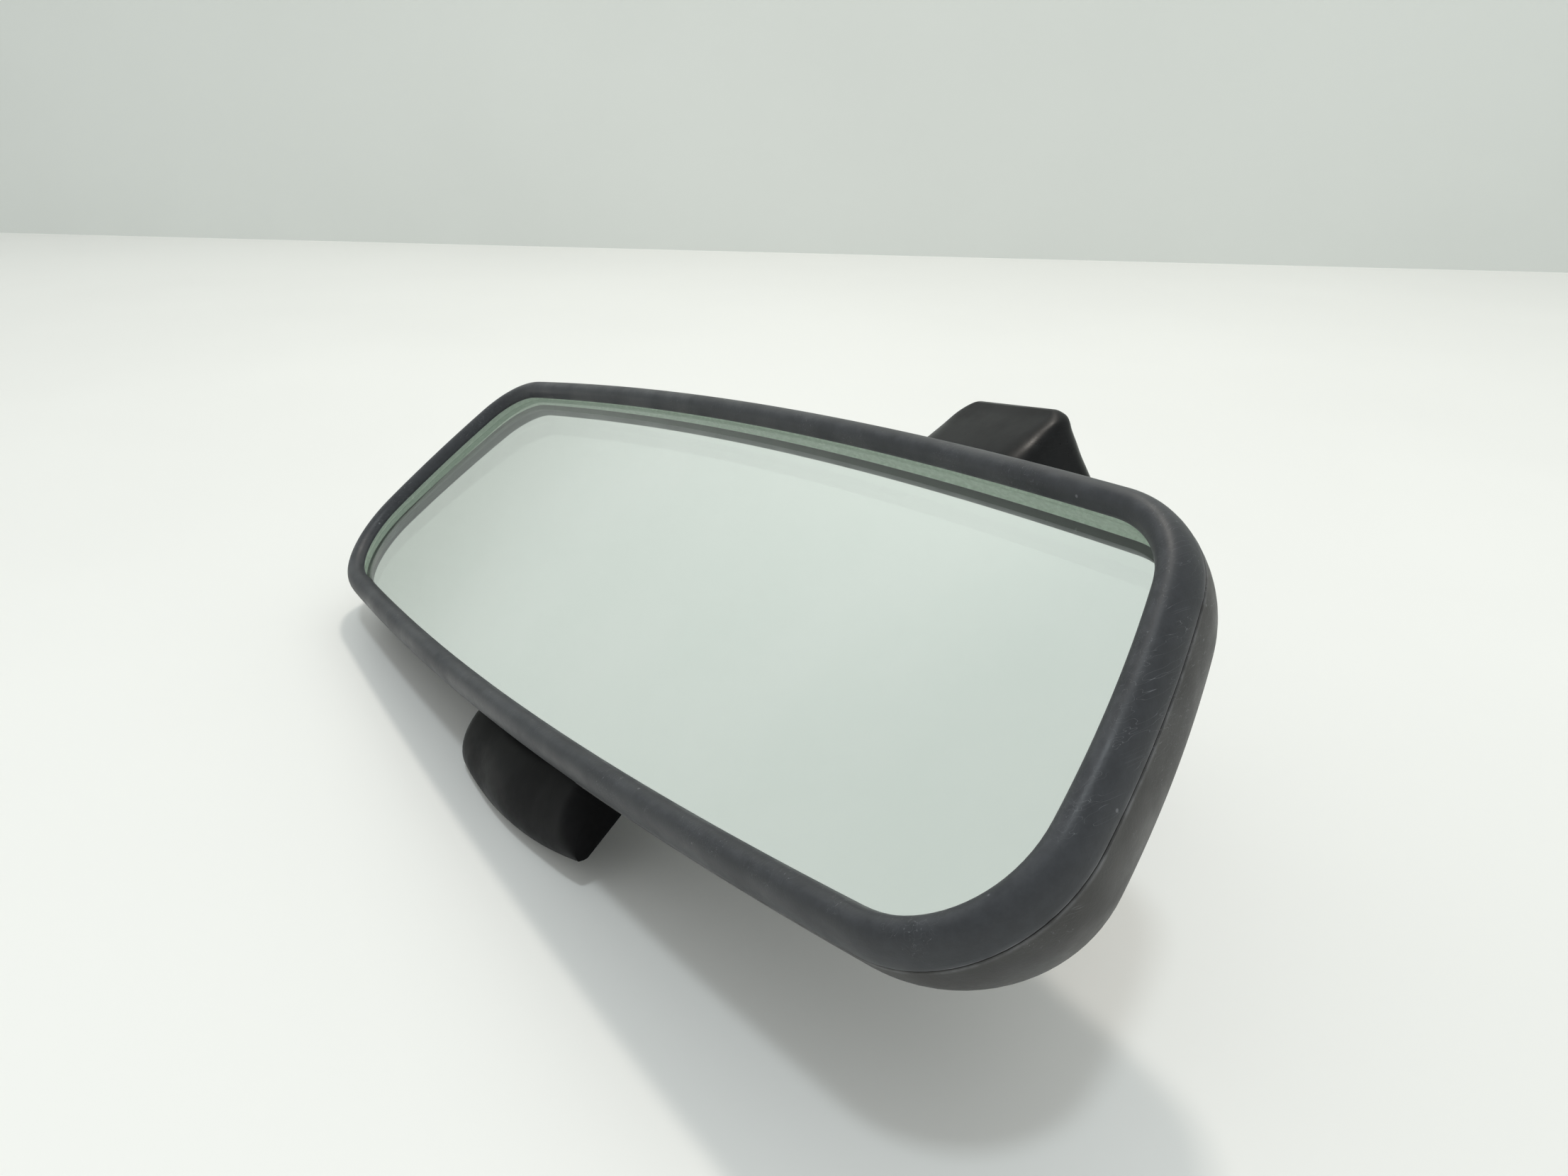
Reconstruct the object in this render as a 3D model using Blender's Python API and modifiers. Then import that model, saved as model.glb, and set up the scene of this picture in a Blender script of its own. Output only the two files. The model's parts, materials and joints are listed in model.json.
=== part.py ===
"""Interior rearview mirror with a day/night dip lever, a two-ball arm and a windscreen foot.

The object lies as it does on a table: its face leans back, its left end and dip lever touch the
table, and the foot stands behind it. +X runs along the mirror's length, +Y from its face to its
back and +Z up. The head is modelled in its own upright axes under a tilted parent empty.
"""
from math import acos, cos, pi, radians, sin, sqrt, tan

import bmesh
import bpy
from mathutils import Matrix, Vector

MM = 0.001
GAP = 0.3  # clearance between neighbouring pieces, mm

# Stance on the table
LEAN_BACK = 51.8  # degrees that the face leans back from upright
SIDE_LIFT = 7.0  # degrees that the right end is raised
HEAD_PLACE = (0.8, -49.3, 28.15)  # where the head's origin is above the table, mm

# Mirror opening, in the head's axes: X along it, Y into it, Z up
HALF_TOP = 105.1  # half width at the top corners
HALF_BOTTOM = 117.75  # half width at the bottom corners
OPENING_HEIGHT = 59.1
BOW_TOP = 4.9
BOW_BOTTOM = 5.8
BOW_SIDE = 2.8
TRIM_TOP = 9.4  # length of edge that a top corner's round takes up
TRIM_BOTTOM = 17.6

# Casings
RIM_WIDTH = 5.25  # from the lip to the outermost edge
RIM_RISE = 2.33  # how far the rim stands in front of the lip
SEAM_DEPTH = 3.4  # where the bezel meets the rear shell
SHELL_DEPTH = 25.8
SHELL_WALL = 1.6
GLASS_FRONT = 0.6
GLASS_OVERLAP = 1.6  # how far the glass reaches under the lip
GLASS_THIN = 3.2  # at the bottom
GLASS_THICK = 5.6  # at the top
BACKING_THICKNESS = 0.5

# Ball joints
BALL_RADIUS = 8.0
SEAT_OUTER = 9.3
CUP_INNER = 9.6
CUP_OUTER = 10.4
BOWL_INNER = 10.7
BOWL_OUTER = 12.5
MOUTH_ANGLE = 70.0  # degrees from the socket's axis to the lip of its mouth
LOWER_BALL = (0.0, 21.0, 33.0)  # in the head's axes
SOCKET_TILT = 25.0  # degrees that the head's socket points up
UPPER_BALL = (28.3, 40.7, 21.75)  # on the table's axes
FOOT_ROLL = -7.5  # degrees about its own Y: its right side is raised like the head's
NECK_RADIUS = 3.2
SPIGOT_RADIUS = 2.5

# Dip mechanism, in the head's axes
PIVOT_PIN_AT = (14.0, 52.0)  # Y, Z
LEVER_PIN_AT = (12.0, -3.0)  # Y, Z
PIN_RADIUS = 1.5
LEVER_HALF_WIDTH = 26.0
LEVER_FRONT = 7.8
LEVER_BACK = 16.6

# Foot, in its own axes: the origin is its ball, Y points at the windscreen
FOOT_SOLE = -19.85  # height of its lower end, in its own axes
FOOT_HEIGHT = 68.0
FOOT_BACK = 18.5  # the flat back that lies against the windscreen
COVER_WALL = 1.6
CHANNEL_HALF_WIDTH = 8.5  # the channel in its back slides down over the windscreen's button
CHANNEL_FLOOR = 12.3
CHANNEL_TOP = 20.0  # the stop that comes to rest on the button
BUTTON_LENGTH = 30.0
SET_SCREW_AT = (15.6, 8.0)  # Y, Z in the foot's axes
FOOT_FRAME_TURN = Matrix.Rotation(pi / 2, 4, "X")  # local Z to the foot's -Y, out of its socket
FOOT_SECTIONS = (  # height above the sole, width, front, back, front and back corner radius
    (0.0, 31.6, -8.0, FOOT_BACK, 7.0, 1.2),
    (1.6, 34.2, -9.7, FOOT_BACK, 8.0, 1.2),
    (12.0, 35.8, -11.2, FOOT_BACK, 8.5, 1.2),
    (30.0, 35.0, -12.0, FOOT_BACK, 8.5, 1.2),
    (46.2, 33.8, -12.6, FOOT_BACK, 8.5, 1.2),
    (46.5, 33.8, -12.6, 18.4, 8.5, 1.3),
    (51.6, 33.2, -12.6, 15.6, 8.5, 3.4),
    (56.6, 32.4, -12.4, 13.8, 8.0, 4.8),
    (59.0, 31.8, -11.0, 13.0, 7.4, 5.2),
    (61.4, 31.2, -7.0, 12.2, 7.0, 5.2),
    (64.0, 30.2, -1.4, 11.3, 6.0, 5.0),
    (65.8, 28.8, 2.8, 10.6, 3.9, 3.7),
    (66.9, 26.6, 5.3, 10.0, 2.4, 2.2),
    (67.7, 23.6, 6.9, 9.2, 1.1, 1.1),
    (FOOT_HEIGHT, 21.6, 7.5, 8.7, 0.55, 0.55),
)


# ---------------------------------------------------------------- scene and helpers


def clear_scene():
    for thing in list(bpy.data.objects):
        bpy.data.objects.remove(thing, do_unlink=True)


def collection(name):
    made = bpy.data.collections.new(name)
    bpy.context.scene.collection.children.link(made)
    return made


def material(name, colour, roughness, metallic=0.0):
    made = bpy.data.materials.new(name)
    made.use_nodes = True
    shader = made.node_tree.nodes["Principled BSDF"]
    shader.inputs["Base Color"].default_value = (*colour, 1.0)
    shader.inputs["Roughness"].default_value = roughness
    shader.inputs["Metallic"].default_value = metallic
    return made


def empty(name, matrix):
    made = bpy.data.objects.new(name, None)
    PARTS.objects.link(made)
    made.matrix_world = matrix
    return made


def mesh_object(name, shape, finish, parent, matrix=None):
    """A part made of a bmesh in mm, placed in its parent's axes by matrix, also in mm."""
    mesh = bpy.data.meshes.new(name)
    bmesh.ops.recalc_face_normals(shape, faces=shape.faces)
    if shape.calc_volume(signed=True) < 0:
        bmesh.ops.reverse_faces(shape, faces=shape.faces)
    shape.transform(Matrix.Scale(MM, 4))
    shape.to_mesh(mesh)
    shape.free()
    made = bpy.data.objects.new(name, mesh)
    made.parent = parent
    if matrix is not None:
        made.matrix_local = Matrix.Translation(matrix.to_translation() * MM) @ matrix.to_3x3().to_4x4()
    if finish is None:
        CUTTERS.objects.link(made)
        made.hide_render = True
        made.display_type = "WIRE"
    else:
        PARTS.objects.link(made)
        mesh.materials.append(finish)
        mesh.shade_smooth()
        mesh.set_sharp_from_angle(angle=radians(35))
    return made


def boolean(target, tool, operation):
    step = target.modifiers.new(f"{operation.lower()} {tool.name}", "BOOLEAN")
    step.operation = operation
    step.object = tool
    step.solver = "EXACT"


def box(low, high):
    shape = bmesh.new()
    bmesh.ops.create_cube(shape, size=1.0)
    size = Vector(high) - Vector(low)
    middle = (Vector(high) + Vector(low)) / 2
    shape.transform(Matrix.Translation(middle) @ Matrix.Diagonal((*size, 1.0)))
    return shape


def rounded_box(low, high, radius, segments=3):
    shape = box(low, high)
    bmesh.ops.bevel(
        shape, geom=shape.edges[:], offset=radius, segments=segments, profile=0.5, affect="EDGES"
    )
    return shape


def cylinder(start, end, radius, segments=24):
    """A solid rod between two points."""
    start = Vector(start)
    along = Vector(end) - start
    shape = bmesh.new()
    bmesh.ops.create_cone(
        shape, cap_ends=True, segments=segments, radius1=radius, radius2=radius, depth=along.length
    )
    turn = along.to_track_quat("Z", "Y").to_matrix().to_4x4()
    shape.transform(Matrix.Translation(start + along / 2) @ turn)
    return shape


def sphere(centre, radius, segments=24):
    shape = bmesh.new()
    bmesh.ops.create_uvsphere(shape, u_segments=segments, v_segments=segments // 2, radius=radius)
    shape.transform(Matrix.Translation(centre))
    return shape


def loft(rings, closed=False):
    """Faces between successive rings of points; closed joins the last ring to the first."""
    shape = bmesh.new()
    rows = [[shape.verts.new(point) for point in ring] for ring in rings]
    pairs = list(zip(rows, rows[1:]))
    if closed:
        pairs.append((rows[-1], rows[0]))
    else:
        shape.faces.new(rows[0])
        shape.faces.new(rows[-1])
    for lower, upper in pairs:
        for i in range(len(lower)):
            j = (i + 1) % len(lower)
            shape.faces.new((lower[i], lower[j], upper[j], upper[i]))
    return shape


def turned(name, profile, finish, parent, matrix, steps=24):
    """A profile of (radius, height) points in mm, turned about its own Z axis."""
    mesh = bpy.data.meshes.new(name)
    points = [(radius * MM, 0.0, height * MM) for radius, height in profile]
    edges = [(i, i + 1) for i in range(len(points) - 1)]
    if profile[0][0] > 0:
        edges.append((len(points) - 1, 0))
    mesh.from_pydata(points, edges, [])
    mesh.materials.append(finish)
    made = bpy.data.objects.new(name, mesh)
    PARTS.objects.link(made)
    made.parent = parent
    made.matrix_local = Matrix.Translation(matrix.to_translation() * MM) @ matrix.to_3x3().to_4x4()
    screw = made.modifiers.new("turn", "SCREW")
    screw.steps = steps
    screw.render_steps = steps
    screw.use_merge_vertices = True
    screw.merge_threshold = 1e-5
    screw.use_smooth_shade = True
    return made


def arc(radius, first, last, count):
    """Points (radius, height) on a circle about the origin, angles in degrees from +height."""
    angles = [radians(first + (last - first) * i / (count - 1)) for i in range(count)]
    return [(max(radius * sin(a), 0.0) if abs(sin(a)) > 1e-6 else 0.0, radius * cos(a)) for a in angles]


def facing(point, direction):
    """The matrix that puts local +Z along direction, at point."""
    return Matrix.Translation(point) @ Vector(direction).to_track_quat("Z", "Y").to_matrix().to_4x4()


# ---------------------------------------------------------------- the mirror's outline


def bowed(start, end, bow, trim_start, trim_end, count):
    """Points on an edge that bows outwards, less what the corners take at its ends."""
    start = Vector(start)
    along = Vector(end) - start
    outward = Vector((-along.y, along.x)).normalized()
    first = trim_start / along.length
    last = 1 - trim_end / along.length
    spots = [first + (last - first) * i / (count - 1) for i in range(count)]
    return [start + along * t + outward * bow * 4 * t * (1 - t) for t in spots]


def rounded_corner(before, after, count=6):
    """Points of a round corner between the end of one edge and the start of the next."""
    leave = (before[-1] - before[-2]).normalized()
    arrive = (after[1] - after[0]).normalized()
    turn = acos(max(-1.0, min(1.0, leave.dot(arrive))))
    radius = (after[0] - before[-1]).length / (2 * sin(turn / 2))
    handle = 4 / 3 * tan(turn / 4) * radius
    a, d = before[-1], after[0]
    b, c = a + leave * handle, d - arrive * handle
    spots = [(i + 1) / (count + 1) for i in range(count)]
    return [
        a * (1 - t) ** 3 + b * 3 * (1 - t) ** 2 * t + c * 3 * (1 - t) * t**2 + d * t**3 for t in spots
    ]


def opening_outline():
    """The lip's outline, clockwise from the top left, as (x, z) vectors in mm."""
    top_left, top_right = (-HALF_TOP, OPENING_HEIGHT), (HALF_TOP, OPENING_HEIGHT)
    bottom_right, bottom_left = (HALF_BOTTOM, 0.0), (-HALF_BOTTOM, 0.0)
    edges = [
        bowed(top_left, top_right, BOW_TOP, TRIM_TOP, TRIM_TOP, 12),
        bowed(top_right, bottom_right, BOW_SIDE, TRIM_TOP, TRIM_BOTTOM, 5),
        bowed(bottom_right, bottom_left, BOW_BOTTOM, TRIM_BOTTOM, TRIM_BOTTOM, 12),
        bowed(bottom_left, top_left, BOW_SIDE, TRIM_BOTTOM, TRIM_TOP, 5),
    ]
    points = []
    for before, after in zip(edges, edges[1:] + edges[:1]):
        points += before + rounded_corner(before, after)
    return points


def offset_outline(distance):
    """The lip's outline moved outwards by distance."""
    points = OUTLINE
    moved = []
    for i, point in enumerate(points):
        along = (points[(i + 1) % len(points)] - points[i - 1]).normalized()
        moved.append(point + Vector((-along.y, along.x)) * distance)
    return moved


def at_depth(points, depth):
    """Outline points placed in the head's axes, at one depth or at depth(z)."""
    if callable(depth):
        return [Vector((p.x, depth(p.y), p.y)) for p in points]
    return [Vector((p.x, depth, p.y)) for p in points]


def side_offset(behind_seam):
    """How far the rear shell stands outside the lip, at a depth behind the seam."""
    return RIM_WIDTH + 0.016 * behind_seam - 0.0263 * behind_seam**2


def glass_back(z):
    """Depth of the wedge glass's silvered back face."""
    share = (z + BOW_BOTTOM) / (OPENING_HEIGHT + BOW_TOP + BOW_BOTTOM)
    return GLASS_FRONT + GLASS_THIN + (GLASS_THICK - GLASS_THIN) * share


# ---------------------------------------------------------------- the head


def build_bezel():
    profile = (  # distance outside the lip, depth
        (0.0, GLASS_FRONT - GAP),
        (0.0, -0.3),
        (0.4, -1.35),
        (1.15, -2.05),
        (2.1, -RIM_RISE),
        (3.2, -2.1),
        (4.15, -1.3),
        (4.8, 0.0),
        (5.15, 1.6),
        (RIM_WIDTH, SEAM_DEPTH),
        (3.3, SEAM_DEPTH),
        (3.3, SEAM_DEPTH + 3.4),
        (2.1, SEAM_DEPTH + 3.4),
        (2.1, GLASS_FRONT - GAP),
    )
    rings = [at_depth(offset_outline(distance), depth) for distance, depth in profile]
    return mesh_object("front_bezel", loft(rings, closed=True), CHARCOAL_PLASTIC, HEAD)


def shell_surface():
    """The rear shell's outer skin: the side wall, then the domed back."""
    shape = bmesh.new()
    front = SEAM_DEPTH + GAP
    depths = (0.0, 3.0, 6.0, 9.0, 11.5, 14.0, 16.0)
    rings = [at_depth(offset_outline(side_offset(d)), front + d) for d in depths]
    last = offset_outline(side_offset(depths[-1]))
    centre = Vector((0.0, OPENING_HEIGHT / 2))
    for shrink, depth in ((0.955, 21.6), (0.88, 23.3), (0.74, 24.7), (0.5, 25.5), (0.24, SHELL_DEPTH)):
        rings.append(at_depth([centre + (p - centre) * shrink for p in last], depth))
    rows = [[shape.verts.new(point) for point in ring] for ring in rings]
    for lower, upper in zip(rows, rows[1:]):
        for i in range(len(lower)):
            j = (i + 1) % len(lower)
            shape.faces.new((lower[i], lower[j], upper[j], upper[i]))
    shape.faces.new(rows[-1])
    return shape


def build_shell():
    shell = mesh_object("rear_shell", shell_surface(), CHARCOAL_PLASTIC, HEAD)
    wall = shell.modifiers.new("wall", "SOLIDIFY")
    wall.thickness = SHELL_WALL * MM
    wall.offset = -1.0
    wall.use_even_offset = True
    pin_y, pin_z = PIVOT_PIN_AT
    lever_y, lever_z = LEVER_PIN_AT
    for side in (-1, 1):
        label = "left" if side < 0 else "right"
        low, high = sorted((side * 34.6, side * 37.4))
        ear = box((low, pin_y - 3.4, pin_z - 3.4), (high, 22.6, pin_z + 3.4))
        boolean(shell, mesh_object(f"pivot_ear_{label}", ear, None, HEAD), "UNION")
        low, high = sorted((side * 28.7, side * 31.3))
        ear = box((low, lever_y - 2.8, lever_z - 2.8), (high, 20.4, lever_z + 2.8))
        boolean(shell, mesh_object(f"lever_ear_{label}", ear, None, HEAD), "UNION")
    for label, (y, z), reach in (("pivot", PIVOT_PIN_AT, 40.0), ("lever", LEVER_PIN_AT, 33.0)):
        hole = cylinder((-reach, y, z), (reach, y, z), PIN_RADIUS + GAP)
        boolean(shell, mesh_object(f"{label}_pin_holes", hole, None, HEAD), "DIFFERENCE")
    aperture = cylinder((0, 0, 0), (0, 24, 0), 1.0, 40)
    aperture.transform(Matrix.Translation((0, 17.5, 30.5)) @ Matrix.Diagonal((22.6, 1, 18.6, 1)))
    boolean(shell, mesh_object("socket_aperture", aperture, None, HEAD), "DIFFERENCE")
    slot = box((-28.0, 2.0, -16.0), (28.0, 18.6, -3.6))
    boolean(shell, mesh_object("lever_slot", slot, None, HEAD), "DIFFERENCE")
    return shell


def build_glass():
    edge = 0.4  # chamfer
    rim = GLASS_OVERLAP
    rings = [
        at_depth(offset_outline(rim - edge), GLASS_FRONT),
        at_depth(offset_outline(rim), GLASS_FRONT + edge),
        at_depth(offset_outline(rim), lambda z: glass_back(z) - edge),
        at_depth(offset_outline(rim - edge), glass_back),
    ]
    mesh_object("mirror_glass", loft(rings), MIRROR_GLASS, HEAD)
    rings = [
        at_depth(offset_outline(rim - 0.6), lambda z: glass_back(z) + GAP),
        at_depth(offset_outline(rim - 0.6), lambda z: glass_back(z) + GAP + BACKING_THICKNESS),
    ]
    mesh_object("glass_backing", loft(rings), BACKING_FILM, HEAD)


def build_foam():
    """Two foam strips that press the glass forward against the lip."""
    for label, low_x in (("left", -88.0), ("right", 52.0)):
        rings = []
        for add in (0.0, 1.8):
            depth = GAP * 2 + BACKING_THICKNESS + add
            corners = ((low_x, 12.0), (low_x + 36.0, 12.0), (low_x + 36.0, 46.0), (low_x, 46.0))
            rings.append([Vector((x, glass_back(z) + depth, z)) for x, z in corners])
        mesh_object(f"foam_strip_{label}", loft(rings), FOAM, HEAD)


def build_pins():
    for name, (y, z), reach in (
        ("bracket_pivot_pin", PIVOT_PIN_AT, 38.6),
        ("lever_pivot_pin", LEVER_PIN_AT, 32.2),
    ):
        rod = cylinder((-reach, y, z), (reach, y, z), PIN_RADIUS)
        mesh_object(name, rod, STEEL, HEAD)
    y, z = PIVOT_PIN_AT
    for label, x, direction in (("left", -34.3, (1, 0, 0)), ("right", 34.3, (-1, 0, 0))):
        ring = ((PIN_RADIUS + GAP, 0.0), (PIN_RADIUS + GAP, 5.0), (3.0, 5.0), (3.0, 1.2), (3.9, 1.2), (3.9, 0.0))
        turned(f"pivot_bush_{label}", ring, NYLON, HEAD, facing((x, y, z), direction))


# ---------------------------------------------------------------- the bracket and its socket


def socket_matrix():
    """Socket axes: the origin is the lower ball, X the head's, Z out of the mouth."""
    tilt = Matrix.Rotation(radians(SOCKET_TILT - 90.0), 4, "X")
    return Matrix.Translation(LOWER_BALL) @ tilt


def stadium(half_width, half_height, low, high):
    """A plate with round ends, between two heights."""
    straight = half_width - half_height
    rings = []
    for height in (low, high):
        ring = []
        for side, first in ((1, -90), (-1, 90)):
            for i in range(13):
                angle = radians(first + 15 * i)
                ring.append(
                    Vector((side * straight + half_height * cos(angle), half_height * sin(angle), height))
                )
        rings.append(ring)
    return loft(rings)


FLANGE = (19.4, 12.6)  # half width and half height of the socket's flange
SCREW_SPOT = 15.9
SCREW_RADIUS = 1.3
MOUTH_HEIGHT = BOWL_INNER * cos(radians(MOUTH_ANGLE))


def build_bracket():
    """The swinging bracket: plate, knuckle on the pivot pin and the bowl that holds the ball."""
    frame = socket_matrix()
    plate = rounded_box((-24.0, 13.2, 8.0), (24.0, 14.8, 51.0), 0.5, 2)
    bracket = mesh_object("pivot_bracket", plate, DIECAST, HEAD)
    y, z = PIVOT_PIN_AT
    knuckle = cylinder((-32.8, y, z), (32.8, y, z), 4.4)
    boolean(bracket, mesh_object("bracket_knuckle", knuckle, None, HEAD), "UNION")
    flange = mesh_object("bracket_flange", stadium(*FLANGE, -3.6, -0.9), None, HEAD, frame)
    boolean(bracket, flange, "UNION")
    bowl = mesh_object("bracket_bowl", sphere((0, 0, 0), BOWL_OUTER), None, HEAD, frame)
    boolean(bracket, bowl, "UNION")
    level = box((-13, -13, -0.87), (13, 12.62, 14))
    boolean(bracket, mesh_object("bracket_split", level, None, HEAD, frame), "DIFFERENCE")
    hollow = mesh_object("bracket_hollow", sphere((0, 0, 0), BOWL_INNER), None, HEAD, frame)
    boolean(bracket, hollow, "DIFFERENCE")
    bore = cylinder((-36, y, z), (36, y, z), PIN_RADIUS + GAP)
    boolean(bracket, mesh_object("bracket_bore", bore, None, HEAD), "DIFFERENCE")
    for side in (-1, 1):
        counterbore = cylinder((side * 29.0, y, z), (side * 36.0, y, z), 3.0 + GAP)
        seat = mesh_object(f"bush_seat_{side + 1}", counterbore, None, HEAD)
        boolean(bracket, seat, "DIFFERENCE")
        hole = cylinder((side * SCREW_SPOT, 0, -14), (side * SCREW_SPOT, 0, 5), SCREW_RADIUS + GAP, 16)
        seat = mesh_object(f"bracket_screw_hole_{side + 1}", hole, None, HEAD, frame)
        boolean(bracket, seat, "DIFFERENCE")


def build_retainer():
    """The plate that closes the socket behind the ball, and its two screws."""
    frame = socket_matrix()
    retainer = mesh_object(
        "socket_retainer", stadium(*FLANGE, -0.6, MOUTH_HEIGHT), DIECAST, HEAD, frame
    )
    hollow = mesh_object("retainer_hollow", sphere((0, 0, 0), BOWL_INNER), None, HEAD, frame)
    boolean(retainer, hollow, "DIFFERENCE")
    for side, label in ((-1, "left"), (1, "right")):
        spot = side * SCREW_SPOT
        hole = cylinder((spot, 0, -14), (spot, 0, 8), SCREW_RADIUS + GAP, 16)
        cutter = mesh_object(f"retainer_hole_{label}", hole, None, HEAD, frame)
        boolean(retainer, cutter, "DIFFERENCE")
        place = frame @ Matrix.Translation((spot, 0, MOUTH_HEIGHT + GAP))
        screw(f"retainer_screw_{label}", 10.5, HEAD, place)


def screw(name, length, parent, matrix):
    """A pan-head screw whose head sits on the origin and whose shank runs along -Z."""
    profile = [(0.0, 1.1), (1.0, 1.1), (1.0, 1.9), (1.7, 1.7), (2.4, 1.1), (2.6, 0.0)]
    profile += [(SCREW_RADIUS, 0.0), (SCREW_RADIUS, -length + 1.0), (0.6, -length), (0.0, -length)]
    turned(name, profile, STEEL, parent, matrix, 16)


def build_toggle_spring():
    """The leaf spring on the bracket's lower edge that snaps the lever over."""
    centre_line = ((15.3, 15.0), (15.3, 9.5), (15.6, 6.4), (16.4, 3.8), (17.6, 2.2))
    thickness = 0.5
    front, back = [], []
    for i, point in enumerate(centre_line):
        before = Vector(centre_line[max(i - 1, 0)])
        after = Vector(centre_line[min(i + 1, len(centre_line) - 1)])
        along = (after - before).normalized()
        side = Vector((-along.y, along.x)) * thickness / 2
        front.append(Vector(point) - side)
        back.append(Vector(point) + side)
    loop = front + back[::-1]
    strip = loft([[Vector((x, p.x, p.y)) for p in loop] for x in (-6.0, 6.0)])
    mesh_object("toggle_spring", strip, STEEL, HEAD)


# ---------------------------------------------------------------- the dip lever


def lever_section(x):
    """One slice of the finger tab across its width: a closed (y, z) loop rounded to the front."""
    share = abs(x) / LEVER_HALF_WIDTH
    plan_radius = 4.0
    inset = max(0.0, abs(x) - (LEVER_HALF_WIDTH - plan_radius))
    front = LEVER_FRONT + plan_radius - sqrt(max(plan_radius**2 - inset**2, 0.0))
    bottom = -23.5 + 2.8 * share**2
    top = -9.6
    loop = [(LEVER_BACK, top), (front, top)]
    reach = LEVER_BACK - 1.0 - front
    drop = min(10.0 + 10.0 * share**2, top - bottom - 0.6)
    for i in range(7):
        angle = radians(15 * i)
        loop.append((front + reach * (1 - cos(angle)), bottom + drop * (1 - sin(angle))))
    loop.append((LEVER_BACK, bottom + 1.2))
    return [Vector((x, y, z)) for y, z in loop]


def build_lever():
    count = 20
    spots = [-cos(pi * i / count) * (LEVER_HALF_WIDTH - 0.05) for i in range(count + 1)]
    lever = mesh_object("dip_lever", loft([lever_section(x) for x in spots]), BLACK_PLASTIC, HEAD)
    y, z = LEVER_PIN_AT
    web = box((-20.0, y - 1.6, -10.0), (20.0, y + 1.6, z))
    boolean(lever, mesh_object("lever_web", web, None, HEAD), "UNION")
    hub = cylinder((-28.2, y, z), (28.2, y, z), 2.9)
    boolean(lever, mesh_object("lever_hub", hub, None, HEAD), "UNION")
    horn = box((-5.0, y - 2.2, z), (5.0, y + 0.6, z + 7.0))
    boolean(lever, mesh_object("lever_horn", horn, None, HEAD), "UNION")
    bore = cylinder((-30, y, z), (30, y, z), PIN_RADIUS + GAP)
    boolean(lever, mesh_object("lever_bore", bore, None, HEAD), "DIFFERENCE")


# ---------------------------------------------------------------- arm, balls and seats


def build_ball(name, parent, matrix):
    """A steel ball with a blind bore that takes the arm's spigot. Its bore faces +Z."""
    bore = SPIGOT_RADIUS + GAP
    mouth = sqrt(BALL_RADIUS**2 - bore**2)
    angle = acos(mouth / BALL_RADIUS) * 180 / pi
    profile = [(0.0, 1.5), (bore, 1.5)] + arc(BALL_RADIUS, angle, 180, 11)
    turned(name, profile, CHROME, parent, matrix)


def spherical_cup(name, inner, outer, finish, parent, matrix):
    """A cup around a ball, open from its mouth angle on."""
    profile = arc(inner, 180, MOUTH_ANGLE, 8) + arc(outer, MOUTH_ANGLE, 180, 8)
    turned(name, profile, finish, parent, matrix)


def build_arm():
    length = (Vector(UPPER_BALL) - lower_ball_on_table()).length
    near = BALL_RADIUS + 0.4
    profile = [(0.0, length - 1.8), (SPIGOT_RADIUS, length - 1.8), (SPIGOT_RADIUS, length - near)]
    profile += [(NECK_RADIUS, length - near - 0.5), (NECK_RADIUS, length - 13.0)]
    profile += [(4.9, length - 18.0), (5.5, length / 2), (4.9, 18.0)]
    profile += [(NECK_RADIUS, 13.0), (NECK_RADIUS, near + 0.5), (SPIGOT_RADIUS, near)]
    profile += [(SPIGOT_RADIUS, 1.8), (0.0, 1.8)]
    turned("arm_stalk", profile, SATIN_BLACK_METAL, ARM, Matrix.Identity(4))
    build_ball("lower_ball", ARM, Matrix.Identity(4))
    turn_back = Matrix.Translation((0, 0, length)) @ Matrix.Rotation(pi, 4, "X")
    build_ball("upper_ball", ARM, turn_back)


def lower_ball_on_table():
    return HEAD_MATRIX @ Vector(LOWER_BALL)


# ---------------------------------------------------------------- the windscreen foot


def foot_ring(height, width, front, back, front_radius, back_radius):
    """A rectangle with round corners, in the foot's axes, at a height above its sole."""
    corners = (
        (1, back - back_radius, back_radius, 0),
        (-1, back - back_radius, back_radius, 90),
        (-1, front + front_radius, front_radius, 180),
        (1, front + front_radius, front_radius, 270),
    )
    ring = []
    for side, y, radius, first in corners:
        x = side * (width / 2 - radius)
        for i in range(6):
            angle = radians(first + 18 * i)
            ring.append(Vector((x + radius * cos(angle), y + radius * sin(angle), FOOT_SOLE + height)))
    return ring


def foot_solid(inset, beyond, floor, ceiling):
    """The foot's form, made smaller by inset, with its flat back moved to stand beyond."""
    rings = []
    for height, width, front, back, front_radius, back_radius in FOOT_SECTIONS:
        if inset and back - front < 2 * inset + 3.0:
            continue
        level = floor + (height / FOOT_HEIGHT) * (ceiling - floor)
        rear = back + beyond if back == FOOT_BACK else back - inset
        rounds = (max(front_radius - inset, 1.0), max(back_radius - inset, 1.0))
        if inset == 0:
            rounds = (front_radius, back_radius)
        rings.append(foot_ring(level, width - 2 * inset, front + inset, rear, *rounds))
    return loft(rings)


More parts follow.
